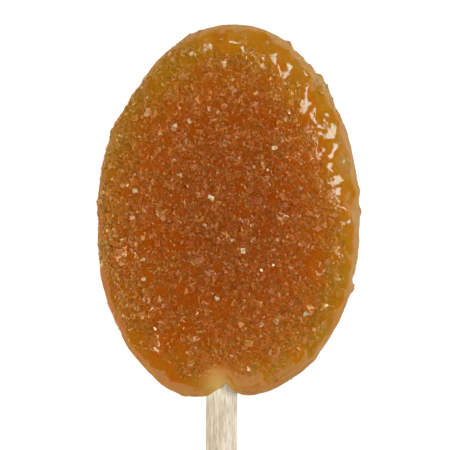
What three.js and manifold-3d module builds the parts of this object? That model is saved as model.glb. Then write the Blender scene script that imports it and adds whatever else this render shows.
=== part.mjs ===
// A candy spoon: an oval lollipop of amber hard candy, crusted with coarse sugar, on a round wooden
// stick. It lies on its flat back with the sugared face up. X runs across the candy, Y from the stick
// towards the candy's rounded top, and Z up out of the face. The origin is the middle of the flat back.
// All lengths are in millimetres and all angles in degrees unless a name says otherwise.
import * as THREE from "three";
import { mergeVertices } from "three/addons/utils/BufferGeometryUtils.js";
import Module from "manifold-3d";

// ---- Driving dimensions ----------------------------------------------------------------------------

// The stick sets the scale: a standard round lollipop stick.
const STICK_DIAMETER = 4.4;
const STICK_LENGTH = 114;
const STICK_CHAMFER = 0.35;
const STICK_X = -1.05; // a little left of the candy's middle
const STICK_AXIS_HEIGHT = 3.9;
const STICK_TOP_Y = -3; // where the stick ends inside the candy
const STICK_SIDES = 32;
const SOCKET_GAP = 0.3; // between the stick and the candy cast round it

// The candy's oval and its pillow-shaped section.
const HALF_WIDTH = 18.5;
const HALF_LENGTH = 26.32;
const THICKNESS = 9;
const WIDEST_HEIGHT = 3.8; // level of the widest outline above the flat back
const DOME_FULLNESS = 3.2; // 2 would be an ellipse, and more is flatter with a steeper rim
const BACK_SHARE = 0.9; // the flat back's size as a share of the outline

// The outline's slow unevenness: waves round the oval, share of the radius, and the angle of a crest.
const OUTLINE_WAVES = [
  [1, 0.0258, -96],
  [2, 0.0147, 58.6],
  [3, 0.009, -28.6],
  [4, 0.0085, -28.2],
  [5, 0.0049, 17.6],
];

// The notch where the candy's two lobes part over the stick: a V that fades out over the face. The
// dome is fuller, with a steeper rim, at the lobes beside it.
const NOTCH_X = -0.5;
const NOTCH_DEPTH = 2.85;
const NOTCH_SPREAD = 1.9; // how far aside its depth has fallen to about a third
const NOTCH_ROUNDING = 0.12;
const NOTCH_FADE = 9; // the power of the radius by which it fades
const LOBE_FULLNESS = 9;
const LOBE_HALF_WIDTH = 5;

// Bumps and dents that show on the outline: angle, height, and half-width along the edge.
const EDGE_NUBS = [
  [0, 0.24, 0.6],
  [9, 0.28, 0.8],
  [34, 0.12, 1.5],
  [44.5, -0.22, 1],
  [52, 0.2, 0.8],
  [55.5, 0.4, 0.7],
  [58, -0.3, 0.5],
  [65.7, -0.85, 1.3],
  [70, 0.22, 0.7],
  [103, 0.2, 0.8],
  [124, -0.34, 2],
  [134, -0.26, 1.2],
  [146, 0.28, 1],
  [185, -0.18, 1.2],
  [206, 0.18, 1],
  [211, 0.14, 1.2],
  [227, -0.18, 2.4],
  [251, 0.34, 2.2],
  [256, 0.2, 1],
  [297, 0.2, 2.6],
  [300, 0.2, 0.7],
  [328, 0.42, 0.7],
  [331, -0.28, 0.7],
  [352, -0.13, 1.2],
];
const NUB_HALF_HEIGHT = 1.6; // how far above and below the widest level they reach
const NUB_FADE = 8; // the power of the radius by which they fade

// The faceted surface: rings of points, a row apart, with this many points in each ring at the rim.
const RIM_POINTS = 126;
const ROW_SPACING = 1;
const SUGAR_RELIEF = 0.3; // height of the crust's unevenness where the sugar lies thick
const GLAZE_RELIEF = 0.12; // and where the rim is mostly bare, glossy candy
const SUGAR_THINS = [0.78, 0.94]; // shares of the radius between which the sugar thins out

// The largest sugar crystals, fused to the candy. Finer sugar is in the relief.
const FACE_CRYSTALS = 165;
const FACE_CRYSTAL_REACH = 0.95; // the outermost, as a share of the radius
const FACE_CRYSTAL_SHIFT = 4; // random turn about the candy's middle
const SIDE_CRYSTALS = 32;
const SIDE_CRYSTAL_RISE = 1.5; // the highest above the widest level
const SIDE_CRYSTAL_SUNK = 0.25;
const SIDE_ROUNDING = 0.05; // how much the side falls back away from the widest level
const CRYSTAL_SMALL = 0.75;
const CRYSTAL_LARGE = 1.25;
const CRYSTAL_PROPORTIONS = [1, 0.8, 0.7];
const CRYSTAL_VARIATION = 0.15;
const CRYSTAL_TILT = 35;
const CRYSTAL_SUNK = 0.12; // share of its size that a crystal's middle lies under the surface
const CRYSTAL_FLOOR_CLEARANCE = 1; // lowest middle of a crystal above the flat back
const CRYSTAL_STICK_CLEARANCE = 3.6; // no crystal sits nearer than this to the stick's exit

const CANDY_COLOUR = 0x9a5620;
const STICK_COLOUR = 0xdcccb2;

const SEED = 20;
const GOLDEN_ANGLE = 180 * (3 - Math.sqrt(5));
const radians = THREE.MathUtils.degToRad;

// A seeded source of numbers from 0 to 1, so that every build is the same.
function randomSource(seed) {
  let state = seed;
  return () => {
    state = (state + 0x6d2b79f5) | 0;
    let mixed = Math.imul(state ^ (state >>> 15), 1 | state);
    mixed = (mixed + Math.imul(mixed ^ (mixed >>> 7), 61 | mixed)) ^ mixed;
    return ((mixed ^ (mixed >>> 14)) >>> 0) / 4294967296;
  };
}
const random = randomSource(SEED);
const randomBetween = (low, high) => low + (high - low) * random();

// ---- The candy's surface ---------------------------------------------------------------------------

const bell = (x) => Math.exp(-(x ** 2));

// Distance from the candy's middle to its outline in one direction, without notch and nubs.
function outlineRadius(angle) {
  const turn = radians(angle);
  const oval = (HALF_WIDTH * HALF_LENGTH) / Math.hypot(HALF_LENGTH * Math.cos(turn), HALF_WIDTH * Math.sin(turn));
  let radius = oval;
  for (const [waves, share, crest] of OUTLINE_WAVES) {
    radius += oval * share * Math.cos(waves * radians(angle - crest));
  }
  return radius;
}

// How far the V between the lobes cuts into the outline in one direction.
function notchDepth(angle) {
  const turn = radians(angle);
  if (Math.sin(turn) > 0) return 0;
  const offset = outlineRadius(angle) * Math.cos(turn) - NOTCH_X;
  const aside = Math.hypot(offset, NOTCH_ROUNDING) - NOTCH_ROUNDING;
  return NOTCH_DEPTH * Math.exp(-aside / NOTCH_SPREAD);
}

// How far the edge's bumps and dents stand out of the outline in one direction.
function nubHeight(angle) {
  let total = 0;
  for (const [place, height, halfWidth] of EDGE_NUBS) {
    const away = radians(THREE.MathUtils.euclideanModulo(angle - place + 180, 360) - 180);
    total += height * bell((away * outlineRadius(angle)) / halfWidth);
  }
  return total;
}

// Distance from the middle of a point of the surface at a share of the outline's radius and a height.
function radiusAt(angle, share, height) {
  const nub = nubHeight(angle) * bell((height - WIDEST_HEIGHT) / NUB_HALF_HEIGHT) * share ** NUB_FADE;
  return share * outlineRadius(angle) - notchDepth(angle) * share ** NOTCH_FADE + nub;
}

// Height of a dome of the given fullness at a share of the outline's radius.
function domeHeight(share, fullness) {
  return WIDEST_HEIGHT + (THICKNESS - WIDEST_HEIGHT) * Math.sqrt(1 - share ** fullness);
}

// Fullness of the candy's dome in one direction.
function domeFullness(angle) {
  const turn = radians(angle);
  if (Math.sin(turn) > 0) return DOME_FULLNESS;
  const lobe = bell((Section.radius * Math.cos(turn) - NOTCH_X) / LOBE_HALF_WIDTH);
  return THREE.MathUtils.lerp(DOME_FULLNESS, LOBE_FULLNESS, lobe);
}

// The section from the top of the dome out to the widest level, then in and down to the flat back.
// A point's x is its distance from the middle on an average radius, and its y is its height.
class Section extends THREE.Curve {
  static radius = (HALF_WIDTH + HALF_LENGTH) / 2;

  getPoint(t) {
    const turn = Math.PI * t;
    if (t <= 0.5) {
      const share = Math.sin(turn) ** (2 / DOME_FULLNESS);
      return new THREE.Vector2(share * Section.radius, domeHeight(Math.min(share, 1), DOME_FULLNESS));
    }
    const share = BACK_SHARE + (1 - BACK_SHARE) * Math.sin(turn);
    return new THREE.Vector2(share * Section.radius, WIDEST_HEIGHT * (1 + Math.cos(turn)));
  }
}

// How thick the sugar lies, from 0 to 1: full over the face, thin on the rim's glossy band and side.
function sugarCover(share, height) {
  const onFace = height > WIDEST_HEIGHT ? 1 : 0;
  return onFace * (1 - THREE.MathUtils.smoothstep(share, ...SUGAR_THINS));
}

// The bare candy: rings of points from the middle of the face, round the rim, to the flat back.
function candyGeometry() {
  const section = new Section();
  const rows = Math.round(section.getLength() / ROW_SPACING);
  const profile = section.getSpacedPoints(rows);
  const positions = [];
  const ringStarts = [];
  const ringSizes = [];

  profile.forEach((point, row) => {
    const isBack = row === rows;
    const share = Math.min(point.x / Section.radius, 1);
    const isDome = point.y > WIDEST_HEIGHT;
    const level = isBack ? 0 : point.y;
    const count = row === 0 ? 1 : Math.min(6 * row, RIM_POINTS);
    const relief = THREE.MathUtils.lerp(GLAZE_RELIEF, SUGAR_RELIEF, sugarCover(share, level));
    ringStarts.push(positions.length / 3);
    ringSizes.push(count);
    for (let i = 0; i < count; i += 1) {
      const angle = 270 + (360 * i) / count;
      const height = isDome ? domeHeight(share, domeFullness(angle)) : level;
      const lift = isBack ? 0 : relief * (random() - 0.5);
      const radius = radiusAt(angle, share, height) + lift * share ** 2;
      const z = height + lift * (1 - share);
      positions.push(radius * Math.cos(radians(angle)), radius * Math.sin(radians(angle)), z);
    }
  });
  const hub = positions.length / 3;
  positions.push(0, 0, 0);

  const triangles = [];
  for (let row = 0; row < rows; row += 1) {
    joinRings(triangles, ringStarts[row], ringSizes[row], ringStarts[row + 1], ringSizes[row + 1]);
  }
  joinRings(triangles, ringStarts[rows], ringSizes[rows], hub, 1);

  const geometry = new THREE.BufferGeometry();
  geometry.setAttribute("position", new THREE.Float32BufferAttribute(positions, 3));
  geometry.setIndex(triangles);
  return geometry;
}

// Fills the band between two rings of points with triangles, walking round both at the same pace.
function joinRings(triangles, innerStart, innerSize, outerStart, outerSize) {
  let inner = 0;
  let outer = 0;
  const innerSteps = innerSize === 1 ? 0 : innerSize;
  const outerSteps = outerSize === 1 ? 0 : outerSize;
  while (inner < innerSteps || outer < outerSteps) {
    const innerNow = innerStart + (inner % innerSize);
    const outerNow = outerStart + (outer % outerSize);
    const innerLeads = (inner + 1) * outerSteps < (outer + 1) * innerSteps;
    if (outer >= outerSteps || (inner < innerSteps && innerLeads)) {
      triangles.push(innerNow, outerNow, innerStart + ((inner + 1) % innerSize));
      inner += 1;
    } else {
      triangles.push(innerNow, outerNow, outerStart + ((outer + 1) % outerSize));
      outer += 1;
    }
  }
}

// ---- Sugar crystals --------------------------------------------------------------------------------

// One blocky crystal at a place on the surface, its long side near the surface and turned at random.
function crystalGeometry(place) {
  const size = randomBetween(CRYSTAL_SMALL, CRYSTAL_LARGE);
  const vary = () => randomBetween(1 - CRYSTAL_VARIATION, 1 + CRYSTAL_VARIATION);
  const [length, width, height] = CRYSTAL_PROPORTIONS.map((part) => part * size * vary());
  const tilt = () => radians(randomBetween(-CRYSTAL_TILT, CRYSTAL_TILT));
  const turned = new THREE.Euler(tilt(), tilt(), radians(randomBetween(0, 360)), "XYZ");
  const box = new THREE.BoxGeometry(length, width, height);
  const middle = place.clone();
  middle.z -= CRYSTAL_SUNK * size;
  return box.applyMatrix4(new THREE.Matrix4().makeRotationFromEuler(turned).setPosition(middle));
}

// Places for crystals over the face, even as the seeds of a sunflower, with a small random shift.
function facePlaces() {
  const places = [];
  for (let i = 0; i < FACE_CRYSTALS; i += 1) {
    const share = FACE_CRYSTAL_REACH * Math.sqrt((i + randomBetween(0.2, 0.8)) / FACE_CRYSTALS);
    const angle = i * GOLDEN_ANGLE + randomBetween(-FACE_CRYSTAL_SHIFT, FACE_CRYSTAL_SHIFT);
    const height = domeHeight(share, domeFullness(angle));
    const radius = radiusAt(angle, share, height);
    places.push(new THREE.Vector3(radius * Math.cos(radians(angle)), radius * Math.sin(radians(angle)), height));
  }
  return places;
}

// Places on the rim's side, spread round it, at heights that clear the surface it rests on.
function sidePlaces() {
  const places = [];
  for (let i = 0; i < SIDE_CRYSTALS; i += 1) {
    const angle = (360 * (i + randomBetween(0.1, 0.9))) / SIDE_CRYSTALS;
    const height = randomBetween(CRYSTAL_FLOOR_CLEARANCE, WIDEST_HEIGHT + SIDE_CRYSTAL_RISE);
    const fallBack = SIDE_ROUNDING * (height - WIDEST_HEIGHT) ** 2;
    const radius = radiusAt(angle, 1, height) - SIDE_CRYSTAL_SUNK - fallBack;
    places.push(new THREE.Vector3(radius * Math.cos(radians(angle)), radius * Math.sin(radians(angle)), height));
  }
  return places;
}

// True where a crystal would stand in the stick's way at the notch.
function isByStick(place) {
  const notchY = -radiusAt(270, 1, WIDEST_HEIGHT);
  return Math.hypot(place.x - STICK_X, place.y - notchY) < CRYSTAL_STICK_CLEARANCE;
}

// ---- The stick -------------------------------------------------------------------------------------

// A round bar with chamfered ends along -Y, from the given place on the stick's axis.
function stickGeometry(radius, length, chamfer, topY) {
  const profile = [
    new THREE.Vector2(0, 0),
    new THREE.Vector2(radius - chamfer, 0),
    new THREE.Vector2(radius, chamfer),
    new THREE.Vector2(radius, length - chamfer),
    new THREE.Vector2(radius - chamfer, length),
    new THREE.Vector2(0, length),
  ];
  return new THREE.LatheGeometry(profile, STICK_SIDES).translate(STICK_X, topY - length, STICK_AXIS_HEIGHT);
}

// ---- Joining and cutting ---------------------------------------------------------------------------

const wasm = await Module();
wasm.setup();

// A closed geometry as a solid that can be joined and cut.
function solidOf(geometry) {
  const bare = new THREE.BufferGeometry();
  bare.setAttribute("position", geometry.getAttribute("position"));
  bare.setIndex(geometry.getIndex());
  const merged = mergeVertices(bare, 1e-4);
  const vertProperties = merged.getAttribute("position").array;
  const triVerts = new Uint32Array(merged.getIndex().array);
  return new wasm.Manifold(new wasm.Mesh({ numProp: 3, vertProperties, triVerts }));
}

// The largest single body of a solid: this drops loose scraps and fills sealed hollows.
function mainBody(solid) {
  return solid.decompose().reduce((best, body) => (body.volume() > best.volume() ? body : best));
}

// A solid back as a geometry.
function geometryOf(solid) {
  const { vertProperties, triVerts } = solid.getMesh();
  const geometry = new THREE.BufferGeometry();
  geometry.setAttribute("position", new THREE.BufferAttribute(vertProperties, 3));
  geometry.setIndex(new THREE.BufferAttribute(triVerts, 1));
  geometry.computeVertexNormals();
  return geometry;
}

// The candy with its crystals fused on and the socket that holds the stick.
function candyHead() {
  const places = [...facePlaces(), ...sidePlaces()].filter((place) => !isByStick(place));
  const crystals = places.map((place) => solidOf(crystalGeometry(place)));
  const crusted = wasm.Manifold.union([solidOf(candyGeometry()), ...crystals]);
  const socketRadius = STICK_DIAMETER / 2 + SOCKET_GAP;
  const socket = solidOf(stickGeometry(socketRadius, STICK_LENGTH, STICK_CHAMFER, STICK_TOP_Y + SOCKET_GAP));
  return geometryOf(mainBody(crusted.subtract(socket)));
}

// ---- The object ------------------------------------------------------------------------------------

function namedMesh(name, geometry, material) {
  const mesh = new THREE.Mesh(geometry, material);
  mesh.name = name;
  return mesh;
}

const candyMaterial = new THREE.MeshStandardMaterial({ color: CANDY_COLOUR, roughness: 0.25, metalness: 0 });
const stickMaterial = new THREE.MeshStandardMaterial({ color: STICK_COLOUR, roughness: 0.75, metalness: 0 });

const candySpoon = new THREE.Group();
candySpoon.name = "candy_spoon";
candySpoon.add(
  namedMesh("candy_head", candyHead(), candyMaterial),
  namedMesh("stick", stickGeometry(STICK_DIAMETER / 2, STICK_LENGTH, STICK_CHAMFER, STICK_TOP_Y), stickMaterial),
);

export default candySpoon;
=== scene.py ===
# A candy spoon: an oval lollipop of amber hard candy, crusted with coarse sugar, on a round wooden
# stick. It lies on its flat back with the sugared face up, and the camera looks straight down.
# X runs across the candy, Y from the stick towards the candy's rounded top, and Z up out of the face.
# Sizes are in millimetres, and become metres where a mesh, light or camera is made.
import itertools
import math

import bmesh
import bpy
import numpy as np
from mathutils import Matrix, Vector


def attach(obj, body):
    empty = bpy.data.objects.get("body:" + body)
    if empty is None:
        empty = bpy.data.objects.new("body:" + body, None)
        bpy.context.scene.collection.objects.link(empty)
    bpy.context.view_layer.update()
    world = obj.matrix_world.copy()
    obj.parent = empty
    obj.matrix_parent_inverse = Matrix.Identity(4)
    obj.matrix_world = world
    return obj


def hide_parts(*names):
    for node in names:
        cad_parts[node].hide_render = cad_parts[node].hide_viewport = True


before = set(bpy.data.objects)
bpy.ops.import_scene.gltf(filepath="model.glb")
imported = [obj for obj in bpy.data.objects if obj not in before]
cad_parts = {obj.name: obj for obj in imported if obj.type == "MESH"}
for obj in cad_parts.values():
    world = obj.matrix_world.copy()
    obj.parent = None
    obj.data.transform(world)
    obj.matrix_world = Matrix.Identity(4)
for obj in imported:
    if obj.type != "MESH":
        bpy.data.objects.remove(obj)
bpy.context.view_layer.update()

MM = 0.001

# ---- Driving dimensions, as in the solids ----------------------------------------------------------

STICK_DIAMETER = 4.4
STICK_LENGTH = 114
STICK_CHAMFER = 0.35
STICK_X = -1.05
STICK_AXIS_HEIGHT = 3.9
STICK_TOP_Y = -3

HALF_WIDTH = 18.5
HALF_LENGTH = 26.32
THICKNESS = 9
WIDEST_HEIGHT = 3.8
DOME_FULLNESS = 3.2
BACK_SHARE = 0.9
MEAN_RADIUS = (HALF_WIDTH + HALF_LENGTH) / 2

# The outline's slow unevenness: waves round the oval, share of the radius, and the angle of a crest.
OUTLINE_WAVES = [
    (1, 0.0258, -96),
    (2, 0.0147, 58.6),
    (3, 0.009, -28.6),
    (4, 0.0085, -28.2),
    (5, 0.0049, 17.6),
]

# The notch where the candy's two lobes part over the stick: a V that fades out over the face. The
# dome is fuller, with a steeper rim, at the lobes beside it.
NOTCH_X = -0.5
NOTCH_DEPTH = 2.85
NOTCH_SPREAD = 1.9  # how far aside its depth has fallen to about a third
NOTCH_ROUNDING = 0.12
NOTCH_FADE = 9  # the power of the radius by which it fades
LOBE_FULLNESS = 9
LOBE_HALF_WIDTH = 5

# Bumps and dents that show on the outline: angle, height, and half-width along the edge.
EDGE_NUBS = [
    (0, 0.24, 0.6),
    (9, 0.28, 0.8),
    (34, 0.12, 1.5),
    (44.5, -0.22, 1),
    (52, 0.2, 0.8),
    (55.5, 0.4, 0.7),
    (58, -0.3, 0.5),
    (65.7, -0.85, 1.3),
    (70, 0.22, 0.7),
    (103, 0.2, 0.8),
    (124, -0.34, 2),
    (134, -0.26, 1.2),
    (146, 0.28, 1),
    (185, -0.18, 1.2),
    (206, 0.18, 1),
    (211, 0.14, 1.2),
    (227, -0.18, 2.4),
    (251, 0.34, 2.2),
    (256, 0.2, 1),
    (297, 0.2, 2.6),
    (300, 0.2, 0.7),
    (328, 0.42, 0.7),
    (331, -0.28, 0.7),
    (352, -0.13, 1.2),
]
NUB_HALF_HEIGHT = 1.6  # how far above and below the widest level they reach
NUB_FADE = 8  # the power of the radius by which they fade

# ---- The candy's fine surface ----------------------------------------------------------------------

ROW_SPACING = 0.19
FIRST_RING = 6  # points in the ring round the middle point
RIM_POINTS = 720
BACK_ROWS = 40
SECTION_STEPS = 4000

GLAZE_FROM = (0.6, 0.85)  # shares of the radius between which the glaze's waves rise to full height
GLAZE_WAVE_ROUND = 2.3  # length of the glaze's ripples round the rim
GLAZE_WAVE_OUTWARD = 3.6  # and from the face out over the rim
GLAZE_RIPPLE = 0.5
EDGE_CALM = 0.9  # how much of the ripples and the swell is lost at the widest edge
EDGE_CALM_FROM = 0.9  # share of the radius at which they begin to fade
GLAZE_WRINKLE_SIZE = 1.1
GLAZE_WRINKLE = 0.11
WRINKLE_CALM = 0.4  # how much of the wrinkles is lost there
GLAZE_FOLD_SPACING = 2.6  # thin ridges that wander over the glaze
GLAZE_FOLD_WIDTH = 0.22
GLAZE_FOLD_BEND = 0.9  # how far the ridges are pushed about
GLAZE_FOLD_BREAKS = (-0.1, 0.4)  # noise between which a ridge rises out of nothing
GLAZE_FOLD = 0.15
GLAZE_SWELL_FROM = (0.3, 0.8)  # shares of the radius between which a slow swell rises
GLAZE_SWELL_SIZE = 6.5
GLAZE_SWELL = 0.22
UNDER_CRUST = 0.6  # how much of the ripples and wrinkles is lost where the crust is thickest
CRUST_GRAIN = 0.62  # size of the facets where crystals lie under the glaze
CRUST_RELIEF = 0.17
CRUST_SLOPE = 0.75
CRUST_ON_GLAZE = 0.06  # share of that relief which bare glaze has
BACK_CALM = 1.2  # height by which the relief is whole, as the back is flat

# What the candy's colours follow: depth rises from about 0 at the outer edge to 1 in the middle.
AMBER_EDGE = 0.05  # depth at the outline itself
AMBER_LEAN = 0.08  # depth added on one side of the rim and taken off on the other, so the rim is paler on the key light's side, where it brings out the painted reflection at the outline
AMBER_LEAN_ANGLE = 205
AMBER_LEAN_FROM = (0.4, 0.85)  # shares of the radius between which the lean rises
FLANK_DEPTH = 0.12  # depth added on the flank under the widest level
FLANK_FROM = 1.5  # height under which the whole of it is added
STEEP = (0.35, 0.8)  # upright part of the normal where the surface counts as steep, and where not
SEE_THROUGH = 5  # depth of candy at which the stick under it has mostly faded
THIN_SPOT = (-1.7, -23.6)  # where the candy thins over the stick
THIN_SPOT_REACH = 1.9  # how far from its middle it has mostly faded

# ---- Sugar -----------------------------------------------------------------------------------------

COVER_REACH = 0.889  # share of the radius where the sugar thins out
COVER_WAVES = [(1, 0.1, 186), (2, 0.06, 140)]  # waves round the candy, share, and a crest's angle
COVER_FADE = 0.07
COVER_UNEVENNESS = 0.07
COVER_PATCH = 3.2  # size of the patches by which its edge is uneven
COVER_DROP = 0.6  # it ends between this far above and this far below the widest level
STRAY_SUGAR = 0.018  # how much sugar lies beyond, as a share of the thick crust
# Where more of it clings to the widest edge: angle, spread and how thick.
EDGE_SUGAR = [(52, 15, 0.28), (104, 4, 0.5), (258, 6, 0.15)]
POOL_SIZE = 1.6  # patches where the glaze runs smooth over the sugar
POOL_EDGE = (0.05, 0.6)  # noise between which a pool goes from nothing to full
POOL_SMOOTHNESS = 0.7
GLAZE_SMOOTH_BELOW = 0.35  # sugar cover under which the glaze is shaded smooth
SPOT_BARENESS = 6  # the power by which sugar keeps away from the thin spot
LOWEST_SUGAR = 1  # height under which no crystals lie

SUGAR_KINDS = [
    # name, how many, smallest, largest, chamfer, how deep its middle is sunk as a share of its size
    ("sugar_coarse", 1500, 0.55, 1.05, 0.16, 0.33),
    ("sugar_fine", 9000, 0.26, 0.5, 0, 0.28),
    ("sugar_clear", 480, 0.35, 0.9, 0.2, 0.2),
]
CRYSTAL_PROPORTIONS = (1, 0.8, 0.62)
SQUARE_ON = 0.99  # part of the normal along an axis that tells a block's sides from its chamfers
CRYSTAL_VARIATION = 0.2  # how much each crystal's proportions vary
CRYSTAL_SKEW = 0.25  # how far one may lean over, as a share of its height
CRYSTAL_TILT = 14  # spread of the random tilt

# ---- The stick's grain -----------------------------------------------------------------------------

STICK_POINTS_ROUND = 112
STICK_ROW_SPACING = 0.6
STICK_END_RINGS = 10
GRAIN_WIDTH = 0.24
GRAIN_LENGTH = 4.5
GRAIN_DEPTH = 0.045
GRAIN_EDGE = (-0.1, 0.7)  # noise between which a furrow goes from nothing to its full depth
PAINTED_LIGHT_WOOD_FROM = -27  # painted light on the wood from here towards the candy, lifting the shade its lobes cast on the stick
PAINTED_LIGHT_WOOD_LENGTH = 2.6  # and at its full strength over this length

# ---- The view --------------------------------------------------------------------------------------

FRAME_PIXELS = 450
STICK_PIXELS = 31.5  # the stick's width in the photograph
HEAD_PIXEL = (229, 211)  # where the candy's middle lies in the photograph
CAMERA_DISTANCE = 600
SENSOR = 36  # width of a usual camera's picture sensor

WARM = (1, 0.965, 0.84)  # colour of the lights on the left and at the front
# How bright the surround is, by the upright part of the direction: 0 is the horizon and 1 overhead.
SURROUND = [(0, 0.06), (0.68, 0.08), (0.88, 0.05)]
FLOOR_HALF_WIDTH = 900
FLOOR_GREY = 0.4
FLOOR_GAP = 0.05  # keeps the floor's face apart from the candy's back
FLOOR_GLOW = 0.8  # the floor is lit from behind, as a light table, so that shadows stay pale

SEED = 20
LATTICE = 64  # how many cells on each side the noise has before it repeats


# ---- Helpers ---------------------------------------------------------------------------------------

def smoothstep(value, low, high):
    """From 0 at low to 1 at high, eased at both ends."""
    t = np.clip((value - low) / (high - low), 0, 1)
    return t * t * (3 - 2 * t)


def angle_from(angle, place):
    """Degrees from a place on the outline to an angle, the short way round."""
    return (angle - place + 180) % 360 - 180


def lattice_noise(points, cell, seed):
    """Smooth noise from -1 to 1 at each point: random values on a lattice, blended in between."""
    table = np.random.default_rng(seed).uniform(-1, 1, (LATTICE, LATTICE, LATTICE))
    scaled = points / cell
    corner = np.floor(scaled).astype(int)
    blend = scaled - corner
    blend = blend * blend * (3 - 2 * blend)
    total = np.zeros(len(points))
    for step in itertools.product((0, 1), repeat=3):
        weight = np.prod(np.where(step, blend, 1 - blend), axis=1)
        total += weight * table[tuple(((corner + step) % LATTICE).T)]
    return total


def facet_noise(points, cell, slope, seed):
    """Heights of about -1 to 1 that make flat facets, each tilted its own way, with steps between."""
    rng = np.random.default_rng(seed)
    middles = rng.random((LATTICE, LATTICE, LATTICE, 3))
    tilts = rng.uniform(-slope, slope, (LATTICE, LATTICE, LATTICE, 3))
    levels = rng.uniform(-0.5, 0.5, (LATTICE, LATTICE, LATTICE))
    corner = np.floor(points / cell).astype(int)
    nearest = np.full(len(points), np.inf)
    height = np.zeros(len(points))
    for step in itertools.product((-1, 0, 1), repeat=3):
        place = corner + step
        key = tuple((place % LATTICE).T)
        away = points / cell - place - middles[key]
        distance = (away**2).sum(axis=1)
        nearer = distance < nearest
        nearest = np.where(nearer, distance, nearest)
        height = np.where(nearer, levels[key] + (tilts[key] * away).sum(axis=1), height)
    return height


def add_field(mesh, name, values):
    """A value at each point of a mesh, for materials to read."""
    layer = mesh.attributes.new(name, "FLOAT", "POINT")
    layer.data.foreach_set("value", np.asarray(values, dtype=np.float32))


def get_field(mesh, name):
    values = np.empty(len(mesh.vertices), dtype=np.float32)
    mesh.attributes[name].data.foreach_get("value", values)
    return values


def mesh_object(name, points, faces, smooth, **fields):
    """An object at the origin from points in millimetres, with a value at each point for each field."""
    mesh = bpy.data.meshes.new(name)
    mesh.from_pydata((points * MM).tolist(), [], np.asarray(faces).tolist())
    for field, values in fields.items():
        add_field(mesh, field, values)
    if smooth:
        mesh.shade_smooth()
    else:
        mesh.shade_flat()
    made = bpy.data.objects.new(name, mesh)
    bpy.context.scene.collection.objects.link(made)
    return made


def point_normals(mesh):
    normals = np.empty(len(mesh.vertices) * 3)
    mesh.vertices.foreach_get("normal", normals)
    return normals.reshape(-1, 3)


# ---- The candy's form ------------------------------------------------------------------------------

def outline_radius(angle):
    """Distance from the candy's middle to its outline in each direction, without notch and nubs."""
    turn = np.radians(angle)
    oval = HALF_WIDTH * HALF_LENGTH / np.hypot(HALF_LENGTH * np.cos(turn), HALF_WIDTH * np.sin(turn))
    radius = oval.copy()
    for waves, share, crest in OUTLINE_WAVES:
        radius += oval * share * np.cos(waves * np.radians(angle - crest))
    return radius


def notch_depth(angle):
    """How far the V between the two lobes cuts into the outline in each direction."""
    turn = np.radians(angle)
    aside = np.hypot(outline_radius(angle) * np.cos(turn) - NOTCH_X, NOTCH_ROUNDING) - NOTCH_ROUNDING
    return np.where(np.sin(turn) < 0, NOTCH_DEPTH * np.exp(-aside / NOTCH_SPREAD), 0)


def nub_height(angle):
    """How far the edge's bumps and dents stand out of the outline in each direction."""
    radius = outline_radius(angle)
    height = np.zeros_like(radius)
    for place, tall, half_width in EDGE_NUBS:
        away = np.radians(angle_from(angle, place)) * radius / half_width
        height += tall * np.exp(-(away**2))
    return height


def dome_height(angle, share):
    """Height of the domed face: fuller, with a steeper rim, at the two lobes by the stick."""
    turn = np.radians(angle)
    aside = (MEAN_RADIUS * np.cos(turn) - NOTCH_X) / LOBE_HALF_WIDTH
    lobe = np.where(np.sin(turn) < 0, np.exp(-(aside**2)), 0)
    fullness = DOME_FULLNESS + (LOBE_FULLNESS - DOME_FULLNESS) * lobe
    return WIDEST_HEIGHT + (THICKNESS - WIDEST_HEIGHT) * np.sqrt(1 - np.clip(share, 0, 1) ** fullness)


def section_points(spacing):
    """The section from the dome's top to the edge of the back: share of the radius, and height."""
    turn = np.linspace(0, math.pi, SECTION_STEPS + 1)
    rise = np.abs(np.sin(turn))
    on_face = turn <= math.pi / 2
    face_share = rise ** (2 / DOME_FULLNESS)
    face_height = WIDEST_HEIGHT + (THICKNESS - WIDEST_HEIGHT) * np.abs(np.cos(turn))
    side_share = BACK_SHARE + (1 - BACK_SHARE) * rise
    side_height = WIDEST_HEIGHT * (1 + np.cos(turn))
    share = np.where(on_face, face_share, side_share)
    height = np.where(on_face, face_height, side_height)
    travel = np.hypot(np.diff(share * MEAN_RADIUS), np.diff(height))
    along = np.concatenate(([0], np.cumsum(travel)))
    rows = round(along[-1] / spacing)
    stops = np.linspace(0, along[-1], rows + 1)
    return np.interp(stops, along, share), np.interp(stops, along, height), stops


def join_rings(inner_start, inner_size, outer_start, outer_size):
    """Triangles that fill the band between two rings of points, walking round both at one pace."""
    triangles = []
    inner = outer = 0
    inner_steps = 0 if inner_size == 1 else inner_size
    outer_steps = 0 if outer_size == 1 else outer_size
    while inner < inner_steps or outer < outer_steps:
        inner_now = inner_start + inner % inner_size
        outer_now = outer_start + outer % outer_size
        inner_leads = (inner + 1) * outer_steps < (outer + 1) * inner_steps
        if outer >= outer_steps or (inner < inner_steps and inner_leads):
            triangles.append((inner_now, outer_now, inner_start + (inner + 1) % inner_size))
            inner += 1
        else:
            triangles.append((inner_now, outer_now, outer_start + (outer + 1) % outer_size))
            outer += 1
    return triangles


def ringed_surface(shares, heights, travels, sizes):
    """Rings of points from the top of the face to the middle of the back, each from the stick's side."""
    starts = np.concatenate(([0], np.cumsum(sizes)[:-1]))
    columns = {"angle": [], "share": [], "height": [], "travel": []}
    for share, height, travel, size in zip(shares, heights, travels, sizes):
        columns["angle"].append(270 + 360 * np.arange(size) / size)
        columns["share"].append(np.full(size, share))
        columns["height"].append(np.full(size, height))
        columns["travel"].append(np.full(size, travel))
    surface = {name: np.concatenate(parts) for name, parts in columns.items()}
    triangles = []
    for row in range(len(sizes) - 1):
        triangles += join_rings(starts[row], sizes[row], starts[row + 1], sizes[row + 1])
    return surface, triangles


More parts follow.
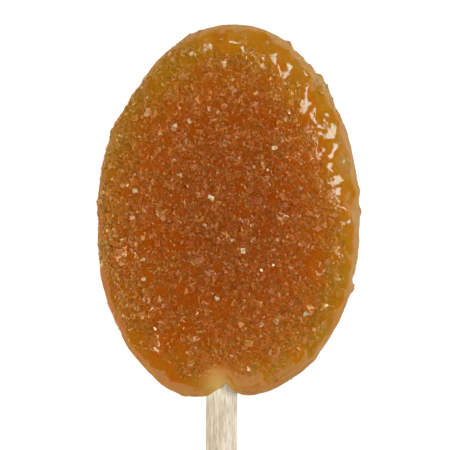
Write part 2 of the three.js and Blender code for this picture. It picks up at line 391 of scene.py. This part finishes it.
def candy_surface():
    """The candy's points, each with its angle, share of the radius and height, and its triangles."""
    shares, heights, travels = section_points(ROW_SPACING)
    rows = np.arange(len(shares))
    sizes = np.clip(FIRST_RING * rows, 1, RIM_POINTS)
    back_shares = BACK_SHARE * (1 - (np.arange(1, BACK_ROWS + 1) / BACK_ROWS))
    back_sizes = np.round(RIM_POINTS * back_shares / BACK_SHARE).astype(int)
    back_sizes = np.clip(back_sizes, FIRST_RING, None)
    back_sizes[-1] = 1
    back_travels = travels[-1] + (BACK_SHARE - back_shares) * MEAN_RADIUS
    return ringed_surface(
        np.concatenate((shares, back_shares)),
        np.concatenate((heights, np.zeros(BACK_ROWS))),
        np.concatenate((travels, back_travels)),
        np.concatenate((sizes, back_sizes)),
    )


def sugar_cover(surface):
    """How thick the sugar lies, from 0 to 1, at each point of the candy."""
    share = surface["share"]
    uneven = COVER_UNEVENNESS * lattice_noise(surface["point"], COVER_PATCH, SEED + 1)
    swing = 0
    for waves, rise, crest in COVER_WAVES:
        swing = swing + rise * np.cos(waves * np.radians(surface["angle"] - crest))
    reach = COVER_REACH + swing
    on_face = smoothstep(surface["height"], WIDEST_HEIGHT - COVER_DROP, WIDEST_HEIGHT + COVER_DROP)
    return on_face * (1 - smoothstep(share + uneven - reach, -COVER_FADE, COVER_FADE))


def stray_sugar(surface):
    """How much sugar lies outside the cover, with more of it in places round the widest edge."""
    at_edge = 0
    for place, spread, thickness in EDGE_SUGAR:
        away = angle_from(surface["angle"], place)
        at_edge = at_edge + thickness * np.exp(-((away / spread) ** 2))
    return STRAY_SUGAR + surface["near_widest"] * at_edge


def glaze_pools(points):
    """From 0, where crystals stand out, to 1, where the glaze runs smooth over them."""
    return smoothstep(lattice_noise(points, POOL_SIZE, SEED + 6), *POOL_EDGE)


def folds(points):
    """Thin broken ridges of height 1 that wander over the glaze."""
    bend = [lattice_noise(points, GLAZE_WRINKLE_SIZE, SEED + 40 + axis) for axis in range(3)]
    bent = points + GLAZE_FOLD_BEND * np.stack(bend, axis=1)
    meander = lattice_noise(bent, GLAZE_FOLD_SPACING, SEED + 7)
    ridge = 1 - smoothstep(np.abs(meander), 0, GLAZE_FOLD_WIDTH)
    return ridge * smoothstep(lattice_noise(points, GLAZE_FOLD_SPACING, SEED + 8), *GLAZE_FOLD_BREAKS)


def place_points(surface):
    """Puts the candy's points on its smooth form, with the notch and the nubs."""
    angle, share, height = surface["angle"], surface["share"], surface["height"]
    height = np.where(height > WIDEST_HEIGHT, dome_height(angle, share), height)
    near_widest = np.exp(-(((height - WIDEST_HEIGHT) / NUB_HALF_HEIGHT) ** 2))
    notch = notch_depth(angle) * share**NOTCH_FADE
    radius = share * outline_radius(angle) - notch
    radius += nub_height(angle) * near_widest * share**NUB_FADE
    turn = np.radians(angle)
    surface["height"] = height
    surface["near_widest"] = near_widest
    surface["notch"] = notch
    surface["point"] = np.stack((radius * np.cos(turn), radius * np.sin(turn), height), axis=1)


def surface_lift(surface, cover, rough):
    """How far the glaze's waves and the crust's facets raise each point off the smooth form."""
    share, near_widest, point = surface["share"], surface["near_widest"], surface["point"]
    turn = np.radians(surface["angle"])
    flow = np.stack(
        (
            MEAN_RADIUS * np.cos(turn) / GLAZE_WAVE_ROUND,
            MEAN_RADIUS * np.sin(turn) / GLAZE_WAVE_ROUND,
            surface["travel"] / GLAZE_WAVE_OUTWARD,
        ),
        axis=1,
    )
    ripple = lattice_noise(flow, 1, SEED + 2)
    swell = lattice_noise(point, GLAZE_SWELL_SIZE, SEED + 3)
    crust = facet_noise(point, CRUST_GRAIN, CRUST_SLOPE, SEED + 4)
    wrinkle = lattice_noise(point, GLAZE_WRINKLE_SIZE, SEED + 5)
    glaze = smoothstep(share, *GLAZE_FROM) * (1 - UNDER_CRUST * cover)
    lift = GLAZE_RIPPLE * ripple * glaze + GLAZE_SWELL * swell * smoothstep(share, *GLAZE_SWELL_FROM)
    lift *= 1 - EDGE_CALM * near_widest * smoothstep(share, EDGE_CALM_FROM, 1)
    lift += GLAZE_WRINKLE * wrinkle * glaze * (1 - WRINKLE_CALM * near_widest)
    lift += GLAZE_FOLD * folds(point) * glaze * (1 - near_widest)
    lift *= 1 - surface["notch"] / NOTCH_DEPTH
    lift += CRUST_RELIEF * crust * (CRUST_ON_GLAZE + (1 - CRUST_ON_GLAZE) * cover) * rough
    return lift * smoothstep(surface["height"], 0, BACK_CALM)


def amber_depth(surface):
    """From about 0 at the thin outer edge to about 1 in the thick middle."""
    side = np.cos(np.radians(surface["angle"] - AMBER_LEAN_ANGLE))
    lean = AMBER_LEAN * side * smoothstep(surface["share"], *AMBER_LEAN_FROM)
    flank = FLANK_DEPTH * (1 - smoothstep(surface["height"], FLANK_FROM, WIDEST_HEIGHT))
    return 1 + AMBER_EDGE - surface["share"] + lean + flank


def stick_seen(points):
    """How well the stick shows through the candy at each point."""
    off_axis = np.hypot(points[:, 0] - STICK_X, points[:, 2] - STICK_AXIS_HEIGHT)
    over_stick = np.clip(off_axis - STICK_DIAMETER / 2, 0, None)
    return np.where(points[:, 1] < STICK_TOP_Y, np.exp(-over_stick / SEE_THROUGH), 0)


def make_candy():
    """The candy with its fine surface, and fields for its colours, its highlights and its sugar."""
    surface, triangles = candy_surface()
    place_points(surface)
    bare = mesh_object("candy_bare", surface["point"], triangles, smooth=True)
    normals = point_normals(bare.data)
    bpy.data.objects.remove(bare)

    from_spot = np.hypot(*(surface["point"][:, :2] - THIN_SPOT).T)
    spot = np.exp(-((from_spot / THIN_SPOT_REACH) ** 2))
    cover = sugar_cover(surface) * (1 - spot)
    rough = 1 - POOL_SMOOTHNESS * glaze_pools(surface["point"])
    points = surface["point"] + normals * surface_lift(surface, cover, rough)[:, None]
    points[:, 2] = np.clip(points[:, 2], 0, None)
    fields = {
        "depth": amber_depth(surface),
        "cover": cover * rough,
        "sugared": cover,
        "lay": np.maximum(cover * rough, stray_sugar(surface)) * (1 - spot) ** SPOT_BARENESS,
        "thin": stick_seen(points) * spot,
    }
    candy = mesh_object("candy", points, triangles, smooth=False, **fields)
    level = smoothstep(point_normals(candy.data)[:, 2], *STEEP)
    add_field(candy.data, "steep", 1 - level * (1 - spot))
    glossy = fields["cover"][np.asarray(triangles)].max(axis=1) < GLAZE_SMOOTH_BELOW
    candy.data.polygons.foreach_set("use_smooth", glossy)
    return candy


# ---- Sugar crystals --------------------------------------------------------------------------------

def crystal_template(chamfer):
    """A block of half-size 1 with chamfered edges: points, triangles, and which points are at an edge."""
    work = bmesh.new()
    bmesh.ops.create_cube(work, size=2)
    if chamfer:
        bmesh.ops.bevel(work, geom=work.edges[:], offset=chamfer, segments=1, affect="EDGES")
        large = [face for face in work.faces if max(abs(side) for side in face.normal) > SQUARE_ON]
        bmesh.ops.poke(work, faces=large)
    bmesh.ops.triangulate(work, faces=work.faces)
    bmesh.ops.recalc_face_normals(work, faces=work.faces)
    work.verts.index_update()
    points = np.array([vert.co[:] for vert in work.verts])
    triangles = np.array([[vert.index for vert in face.verts] for face in work.faces])
    work.free()

    # The bevel leaves points and faces in an order that varies from run to run, so they are sorted.
    order = np.lexsort(points.round(6).T)
    points = points[order]
    triangles = np.argsort(order)[triangles]
    first = triangles.argmin(axis=1)
    triangles = np.array([np.roll(corners, -start) for corners, start in zip(triangles, first)])
    triangles = triangles[np.lexsort(triangles.T)]
    at_edge = (np.abs(points) > 0.5).sum(axis=1) > 1
    return points, triangles, at_edge


def scatter_places(candy, count, rng):
    """Random places on the candy where the sugar lies, with the surface's normal and depth there."""
    mesh = candy.data
    corners = np.empty(len(mesh.polygons) * 3, dtype=np.int32)
    mesh.polygons.foreach_get("vertices", corners)
    corners = corners.reshape(-1, 3)
    points = np.empty(len(mesh.vertices) * 3)
    mesh.vertices.foreach_get("co", points)
    points = points.reshape(-1, 3) / MM
    a, b, c = (points[corners[:, i]] for i in range(3))
    area = np.linalg.norm(np.cross(b - a, c - a), axis=1)
    weight = area * get_field(mesh, "lay")[corners].mean(axis=1) * (a[:, 2] > LOWEST_SUGAR)
    chosen = rng.choice(len(corners), size=count, p=weight / weight.sum())
    first, second = rng.random((2, count))
    over = first + second > 1
    first = np.where(over, 1 - first, first)
    second = np.where(over, 1 - second, second)
    places = a[chosen] + (b - a)[chosen] * first[:, None] + (c - a)[chosen] * second[:, None]
    nearest = corners[chosen, 0]
    return places, point_normals(mesh)[nearest], get_field(mesh, "depth")[nearest]


def make_sugar(candy, name, count, smallest, largest, chamfer, sunk, seed):
    """Crystals of one kind, scattered over the candy and made into one mesh."""
    rng = np.random.default_rng(seed)
    template, triangles, at_edge = crystal_template(chamfer)
    places, normals, depths = scatter_places(candy, count, rng)
    size = rng.uniform(smallest, largest, count)
    points = np.empty((count, len(template), 3))
    for i in range(count):
        varied = rng.uniform(1 - CRYSTAL_VARIATION, 1 + CRYSTAL_VARIATION, 3)
        proportions = np.array(CRYSTAL_PROPORTIONS) * varied * size[i] / 2
        skew = np.eye(3)
        skew[0, 2] = rng.uniform(-CRYSTAL_SKEW, CRYSTAL_SKEW)
        block = (template * proportions) @ skew.T
        tilt = np.radians(rng.normal(0, CRYSTAL_TILT, 2))
        spin = rng.uniform(0, 2 * math.pi)
        upright = Vector(normals[i]).to_track_quat("Z", "Y").to_matrix()
        turned = np.array(upright) @ rotation(tilt[0], 0) @ rotation(tilt[1], 1) @ rotation(spin, 2)
        points[i] = places[i] - normals[i] * sunk * size[i] + block @ turned.T
    fields = {
        "shade": np.repeat(rng.random(count), len(template)),
        "depth": np.repeat(depths, len(template)),
        # how strongly light is painted on each crystal's edges
        "edge": np.outer(rng.random(count) ** 2, at_edge).ravel(),
    }
    faces = (triangles[None] + len(template) * np.arange(count)[:, None, None]).reshape(-1, 3)
    return mesh_object(name, points.reshape(-1, 3), faces, smooth=False, **fields)


def rotation(angle, axis):
    """A turn about one of the three axes."""
    matrix = np.eye(3)
    i, j = [(1, 2), (2, 0), (0, 1)][axis]
    matrix[i, i] = matrix[j, j] = math.cos(angle)
    matrix[i, j], matrix[j, i] = -math.sin(angle), math.sin(angle)
    return matrix


# ---- The stick -------------------------------------------------------------------------------------

def make_stick():
    """The round stick, with furrows of its grain cut into the solid's surface."""
    radius = STICK_DIAMETER / 2
    end = np.linspace(0, radius - STICK_CHAMFER, STICK_END_RINGS)
    rows = round(STICK_LENGTH / STICK_ROW_SPACING)
    along = np.linspace(STICK_CHAMFER, STICK_LENGTH - STICK_CHAMFER, rows)
    ring_radius = np.concatenate((end, np.full(len(along), radius), end[::-1]))
    ring_place = np.concatenate((np.zeros(len(end)), along, np.full(len(end), STICK_LENGTH)))
    sizes = np.where(ring_radius > 0, STICK_POINTS_ROUND, 1)
    starts = np.concatenate(([0], np.cumsum(sizes)[:-1]))

    points, triangles = [], []
    for ring, size in enumerate(sizes):
        turn = 2 * math.pi * np.arange(size) / size
        across, up = ring_radius[ring] * np.cos(turn), ring_radius[ring] * np.sin(turn)
        points.append(np.stack((across, np.full(size, ring_place[ring]), up), axis=1))
        if ring:
            triangles += join_rings(starts[ring - 1], sizes[ring - 1], starts[ring], size)
    points = np.concatenate(points)
    stretch = np.array((GRAIN_WIDTH, GRAIN_LENGTH, GRAIN_WIDTH))
    furrow = smoothstep(lattice_noise(points / stretch, 1, SEED + 30), *GRAIN_EDGE)
    points[:, [0, 2]] *= (1 - GRAIN_DEPTH / radius * furrow)[:, None]
    points += (STICK_X, STICK_TOP_Y - STICK_LENGTH, STICK_AXIS_HEIGHT)
    return mesh_object("stick_grain", points, triangles, smooth=True)


# ---- Materials -------------------------------------------------------------------------------------

def set_stops(ramp, stops):
    """Gives a colour ramp its places and colours."""
    elements = ramp.color_ramp.elements
    elements.remove(elements[0])
    for i, (place, colour) in enumerate(stops):
        stop = elements[0] if i == 0 else elements.new(place)
        stop.position = place
        stop.color = (*colour, 1)


class Nodes:
    """A material's node tree, with a short way to add nodes and link them."""

    def __init__(self, name):
        self.material = bpy.data.materials.new(name)
        self.material.use_nodes = True
        self.tree = self.material.node_tree
        self.shader = self.tree.nodes["Principled BSDF"]

    def add(self, kind, inputs=None, **settings):
        node = self.tree.nodes.new(kind)
        for name, value in settings.items():
            setattr(node, name, value)
        self.fill(node, inputs or {})
        return node

    def fill(self, node, inputs):
        for key, value in inputs.items():
            if isinstance(value, bpy.types.NodeSocket):
                self.tree.links.new(value, node.inputs[key])
            else:
                node.inputs[key].default_value = value

    def ramp(self, factor, stops):
        node = self.add("ShaderNodeValToRGB", {"Fac": factor})
        set_stops(node, stops)
        return node.outputs["Color"]

    def mix(self, factor, first, second, blend="MIX"):
        node = self.add("ShaderNodeMix", data_type="RGBA", blend_type=blend)
        self.fill(node, {0: factor, 6: first, 7: second})
        return node.outputs[2]

    def field(self, name):
        return self.add("ShaderNodeAttribute", attribute_name=name).outputs["Fac"]

    def place(self):
        return self.add("ShaderNodeTexCoord").outputs["Object"]

    def noise(self, size, detail, vector=None):
        """Noise whose blotches are about this many millimetres across."""
        inputs = {"Vector": vector or self.place(), "Scale": 1 / (size * MM), "Detail": detail}
        return self.add("ShaderNodeTexNoise", inputs).outputs["Fac"]

    def math(self, operation, *values, clamp=False):
        node = self.add("ShaderNodeMath", operation=operation, use_clamp=clamp)
        self.fill(node, dict(enumerate(values)))
        return node.outputs[0]


# The candy's colour by depth, from its thin outer edge to its thick middle.
AMBER = [
    # The palest stop, which the outline reaches mostly on the key light's side, is a painted reflection
    # of the bright floor.
    (0.0, (0.42, 0.21, 0.052)),
    (0.05, (0.415, 0.17, 0.006)),
    (0.13, (0.43, 0.152, 0.002)),
    (0.27, (0.445, 0.104, 0.001)),
    (0.43, (0.42, 0.0745, 0.001)),
    (0.75, (0.345, 0.0575, 0.002)),
]
BLOTCH_SIZE = 3.5  # sizes here are the textures' and in millimetres
BLOTCH_DEPTH = 0.28  # how far apart in depth the blotches may look
CAST_LARGE = 5.5  # sizes of the blotches that lean to one of the two casts
CAST_SMALL = 1.3
CAST_SHARE = 0.6  # how much the large ones count for beside the small
CAST_CONTRAST = 3
CAST_LEVEL = -1.9  # puts the middle of the noise half-way between the casts
RED_BROWN = (1.02, 0.96, 1, 1)  # the two casts, which the amber is multiplied by
OLIVE = (0.98, 1.035, 0.92, 1)
SHADE_BETWEEN_CRYSTALS = (0.87, 0.94, 1.15, 1)  # painted shade, a little bluer: what the amber is multiplied by between the crystals
PAINTED_SHADE_ON_STEEP = (0.74, 0.76, 0.82, 1)  # and, as painted shade, where the surface is steepest
PAINTED_SHADE_STEEP_POWER = 4

HAZE = (0.83, 0.46, 0.11, 1)  # colour of the sugar's pale dust, of the painted sheen on the haziest crystals and of the light painted on their edges
CLEAR_HAZE = (0.8, 0.64, 0.38, 1)  # the same on the clearer crystals
HAZE_SIZE = 1.1
HAZE_UNEVENNESS = 0.16
CANDY_HAZE = 0.01

SHEEN = 0.41  # strength of the candy's highlights
STEEP_SHEEN = 0.01  # their strength where the surface is steep
GLAZE_TINT = (0.78, 1, 0.88, 1)  # their colour on bare glaze
CRUST_TINT = (1, 0.67, 0.33, 1)  # their colour where sugar lies
GLAZE_ROUGHNESS = 0.1
CRUST_ROUGHNESS = 0.14  # added where sugar lies
FINE_GRAIN_SIZE = 0.3
FINE_GRAIN_HEIGHT = 0.08
STICK_THROUGH_CANDY = (0.6, 0.42, 0.13, 1)

SUGAR_LOOKS = {
    # The haze's colour, its amount on the haziest crystals, partly painted sheen, the amount of
    # light painted on the edges, the least roughness, and the strength and the colour of the highlights.
    "sugar_coarse": (HAZE, 0.25, 0.3, 0.2, 0.52, (1, 0.65, 0.3, 1)),
    "sugar_fine": (HAZE, 0.2, 0.1, 0.22, 0.48, (1, 0.65, 0.3, 1)),
    "sugar_clear": (CLEAR_HAZE, 0.7, 0.35, 0.08, 0.6, (1, 0.82, 0.55, 1)),
}
SUGAR_DARKEST = 0.92  # what the darkest crystals' colour is multiplied by
SUGAR_RANGE = 0.12  # and how much more the palest are
SUGAR_HAZE = 0.02  # haze on every crystal
HAZY_FEW = 8  # the power that keeps the thickest haze to a few crystals
PAINTED_EDGE_LIGHT_POWER = 2
SUGAR_ROUGHNESS_RANGE = 0.12

WOOD = [
    (0.3, (0.51, 0.43, 0.325)),
    (0.5, (0.61, 0.525, 0.405)),
    (0.7, (0.73, 0.65, 0.535)),
]
FLECKS = [  # what the wood is multiplied by
    (0.34, (0.8, 0.78, 0.75)),
    (0.46, (1, 1, 1)),
    (0.64, (1.14, 1.14, 1.16)),
]
STREAK = (0.52, 7)  # width and length
FLECK = (0.27, 1.5)
PAINTED_LIGHT_WOOD = (0.88, 0.85, 0.74, 1)  # the wood's colour under that painted light, near the candy


def amber_colour(nodes):
    """Red-brown where the candy is thick, amber towards its rim, in uneven blotches."""
    blotch = nodes.math("SUBTRACT", nodes.noise(BLOTCH_SIZE, 3), 0.5)
    depth = nodes.math("MULTIPLY_ADD", blotch, BLOTCH_DEPTH, nodes.field("depth"))
    cast = nodes.noise(CAST_SMALL, 2)
    cast = nodes.math("MULTIPLY_ADD", nodes.noise(CAST_LARGE, 1), CAST_SHARE, cast)
    cast = nodes.math("MULTIPLY_ADD", cast, CAST_CONTRAST, CAST_LEVEL, clamp=True)
    return nodes.mix(1, nodes.ramp(depth, AMBER), nodes.mix(cast, RED_BROWN, OLIVE), "MULTIPLY")


def hazy(nodes, colour, amount, haze):
    """A colour with an uneven pale haze over it, of about the given amount."""
    uneven = nodes.noise(HAZE_SIZE, 3)
    uneven = nodes.math("MULTIPLY_ADD", uneven, HAZE_UNEVENNESS, -HAZE_UNEVENNESS / 2)
    return nodes.mix(nodes.math("ADD", uneven, amount, clamp=True), colour, haze)


def candy_material():
    """Amber glaze, with painted shade between the crystals and down its steep sides, and duller in both
    places.
    """
    nodes = Nodes("candy")
    amber = amber_colour(nodes)
    shaded_between_crystals = nodes.mix(1, amber, SHADE_BETWEEN_CRYSTALS, "MULTIPLY")
    colour = nodes.mix(nodes.field("sugared"), amber, shaded_between_crystals)
    # Painted shade on the steepest parts of the outline, kept off the thin spot over the stick
    side = nodes.math("POWER", nodes.field("steep"), PAINTED_SHADE_STEEP_POWER)
    side = nodes.math("SUBTRACT", side, nodes.field("thin"), clamp=True)
    colour = nodes.mix(side, colour, nodes.mix(1, colour, PAINTED_SHADE_ON_STEEP, "MULTIPLY"))
    colour = hazy(nodes, colour, CANDY_HAZE, HAZE)
    colour = nodes.mix(nodes.field("thin"), colour, STICK_THROUGH_CANDY)
    rough = nodes.math("MULTIPLY_ADD", nodes.field("cover"), CRUST_ROUGHNESS, GLAZE_ROUGHNESS)
    sheen = nodes.math("MULTIPLY_ADD", nodes.field("steep"), STEEP_SHEEN - SHEEN, SHEEN)
    grain = nodes.math("MULTIPLY", nodes.noise(FINE_GRAIN_SIZE, 4), nodes.field("cover"))
    bump = nodes.add(
        "ShaderNodeBump",
        {"Height": grain, "Strength": 0.3, "Distance": FINE_GRAIN_HEIGHT * MM},
    )
    nodes.fill(
        nodes.shader,
        {
            "Base Color": colour,
            "Roughness": rough,
            "IOR": 1.5,
            "Specular IOR Level": sheen,
            "Specular Tint": nodes.mix(nodes.field("sugared"), GLAZE_TINT, CRUST_TINT),
            "Subsurface Weight": 0.9,
            "Subsurface Radius": (1.0, 0.42, 0.12),
            "Subsurface Scale": 1.4 * MM,
            "Normal": bump.outputs["Normal"],
        },
    )
    return nodes.material


def sugar_material(name, haze_colour, haze, painted_edge_light, roughness, sheen, sheen_tint):
    """Sugar glazed with the candy, each crystal a little darker or lighter, some with light painted on
    their edges.
    """
    nodes = Nodes(name)
    level = nodes.math("MULTIPLY_ADD", nodes.field("shade"), SUGAR_RANGE, SUGAR_DARKEST)
    # A pale veil: partly the sugar's own dust, and painted sheen where it is thickest
    veil = nodes.math("POWER", nodes.field("shade"), HAZY_FEW)
    veil = nodes.math("MULTIPLY_ADD", veil, haze, SUGAR_HAZE)
    # Light painted on the crystals' edges
    edge = nodes.math("POWER", nodes.field("edge"), PAINTED_EDGE_LIGHT_POWER)
    veil = nodes.math("MULTIPLY_ADD", edge, painted_edge_light, veil)
    scaled = nodes.add(
        "ShaderNodeVectorMath",
        {0: amber_colour(nodes), "Scale": level},
        operation="SCALE",
    )
    rough = nodes.math("MULTIPLY_ADD", nodes.field("shade"), SUGAR_ROUGHNESS_RANGE, roughness)
    nodes.fill(
        nodes.shader,
        {
            "Base Color": hazy(nodes, scaled.outputs["Vector"], veil, haze_colour),
            "Roughness": rough,
            "IOR": 1.5,
            "Specular IOR Level": sheen,
            "Specular Tint": sheen_tint,
            "Subsurface Weight": 0.8,
            "Subsurface Radius": (1.0, 0.7, 0.4),
            "Subsurface Scale": 0.45 * MM,
        },
    )
    return nodes.material


def stick_material():
    """Pale wood with long streaks and short flecks, with light painted on it where it leaves the candy.
    """
    nodes = Nodes("stick_wood")

    def streaks(width, length):
        stretch = nodes.add(
            "ShaderNodeMapping",
            {"Vector": nodes.place(), "Scale": (1, width / length, 1)},
        )
        return nodes.noise(width, 3, stretch.outputs["Vector"])

    wood = nodes.ramp(streaks(*STREAK), WOOD)
    flecks = nodes.ramp(streaks(*FLECK), FLECKS)
    along = nodes.add("ShaderNodeSeparateXYZ", {0: nodes.place()}).outputs["Y"]
    # How much painted light lifts the lobes' shade near the candy, rising towards it
    sugared = nodes.math(
        "MULTIPLY_ADD", along, 1 / (PAINTED_LIGHT_WOOD_LENGTH * MM), -PAINTED_LIGHT_WOOD_FROM / PAINTED_LIGHT_WOOD_LENGTH, clamp=True
    )
    grain = nodes.mix(1, nodes.mix(sugared, wood, PAINTED_LIGHT_WOOD), flecks, "MULTIPLY")
    nodes.fill(
        nodes.shader,
        {"Base Color": grain, "Roughness": 0.6, "Specular IOR Level": 0.3},
    )
    return nodes.material


# ---- Stage, lights and camera ----------------------------------------------------------------------

def make_floor():
    """A pale glowing floor, far wider than the candy."""
    corners = [(-1, -1), (1, -1), (1, 1), (-1, 1)]
    points = np.array([(FLOOR_HALF_WIDTH * x, FLOOR_HALF_WIDTH * y, -FLOOR_GAP) for x, y in corners])
    floor = mesh_object("floor", points, [(0, 1, 2, 3)], smooth=False)
    nodes = Nodes("floor_white")
    nodes.fill(
        nodes.shader,
        {
            "Base Color": (FLOOR_GREY, FLOOR_GREY, FLOOR_GREY, 1),
            "Roughness": 0.9,
            "Specular IOR Level": 0.1,
            "Emission Color": (1, 1, 1, 1),
            "Emission Strength": FLOOR_GLOW,
        },
    )
    floor.data.materials.append(nodes.material)


def make_world():
    """A dim surround that softens the shadows, brightest between the horizon and overhead."""
    world = bpy.data.worlds.new("studio")
    bpy.context.scene.world = world
    world.use_nodes = True
    tree = world.node_tree
    background = tree.nodes["Background"]
    place = tree.nodes.new("ShaderNodeTexCoord")
    split = tree.nodes.new("ShaderNodeSeparateXYZ")
    ramp = tree.nodes.new("ShaderNodeValToRGB")
    tree.links.new(place.outputs["Generated"], split.inputs[0])
    tree.links.new(split.outputs["Z"], ramp.inputs["Fac"])
    tree.links.new(ramp.outputs["Color"], background.inputs["Color"])
    set_stops(ramp, [(up, (grey, grey, grey)) for up, grey in SURROUND])


def make_light(name, azimuth, off_zenith, distance, width, height, radiance, colour=(1, 1, 1)):
    """A soft light that faces the candy, given by where it stands, its size and how bright it looks."""
    light = bpy.data.lights.new(name, "AREA")
    light.color = colour
    light.shape = "RECTANGLE"
    light.size = width * MM
    light.size_y = height * MM
    light.energy = radiance * math.pi * light.size * light.size_y
    turn, lean = math.radians(azimuth), math.radians(off_zenith)
    towards = Vector((math.cos(turn) * math.sin(lean), math.sin(turn) * math.sin(lean), math.cos(lean)))
    made = bpy.data.objects.new(name, light)
    made.location = towards * distance * MM
    made.rotation_euler = towards.to_track_quat("Z", "Y").to_euler()
    bpy.context.scene.collection.objects.link(made)


def make_camera():
    """A camera over the candy, from which each thing has the size and place of the photograph."""
    pixel = STICK_DIAMETER / STICK_PIXELS
    camera = bpy.data.cameras.new("camera")
    camera.sensor_width = SENSOR
    camera.lens = SENSOR * (CAMERA_DISTANCE - WIDEST_HEIGHT) / (FRAME_PIXELS * pixel)
    made = bpy.data.objects.new("camera", camera)
    aside = (FRAME_PIXELS / 2 - HEAD_PIXEL[0]) * pixel
    up = (HEAD_PIXEL[1] - FRAME_PIXELS / 2) * pixel
    made.location = Vector((aside, up, CAMERA_DISTANCE)) * MM
    bpy.context.scene.collection.objects.link(made)
    bpy.context.scene.camera = made


# ---- Putting it together ---------------------------------------------------------------------------

make_camera()
make_floor()
make_world()
make_light("key", azimuth=26, off_zenith=52, distance=500, width=300, height=135, radiance=13.5)
make_light("top", azimuth=84, off_zenith=52, distance=500, width=150, height=105, radiance=13.5)
make_light(
    "fill", azimuth=190, off_zenith=55, distance=600, width=200, height=200, radiance=16.5, colour=WARM
)
make_light(
    "front", azimuth=284, off_zenith=58, distance=600, width=560, height=560, radiance=1.95, colour=WARM
)
bpy.context.scene.view_settings.view_transform = "Standard"

candy = make_candy()
candy.data.materials.append(candy_material())
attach(candy, "root")
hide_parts("candy_head")

for order, (name, *kind) in enumerate(SUGAR_KINDS):
    sugar = make_sugar(candy, name, *kind, SEED + 10 + order)
    sugar.data.materials.append(sugar_material(name, *SUGAR_LOOKS[name]))
    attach(sugar, "root")
    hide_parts("candy_head")

stick = make_stick()
stick.data.materials.append(stick_material())
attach(stick, "root")
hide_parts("stick")
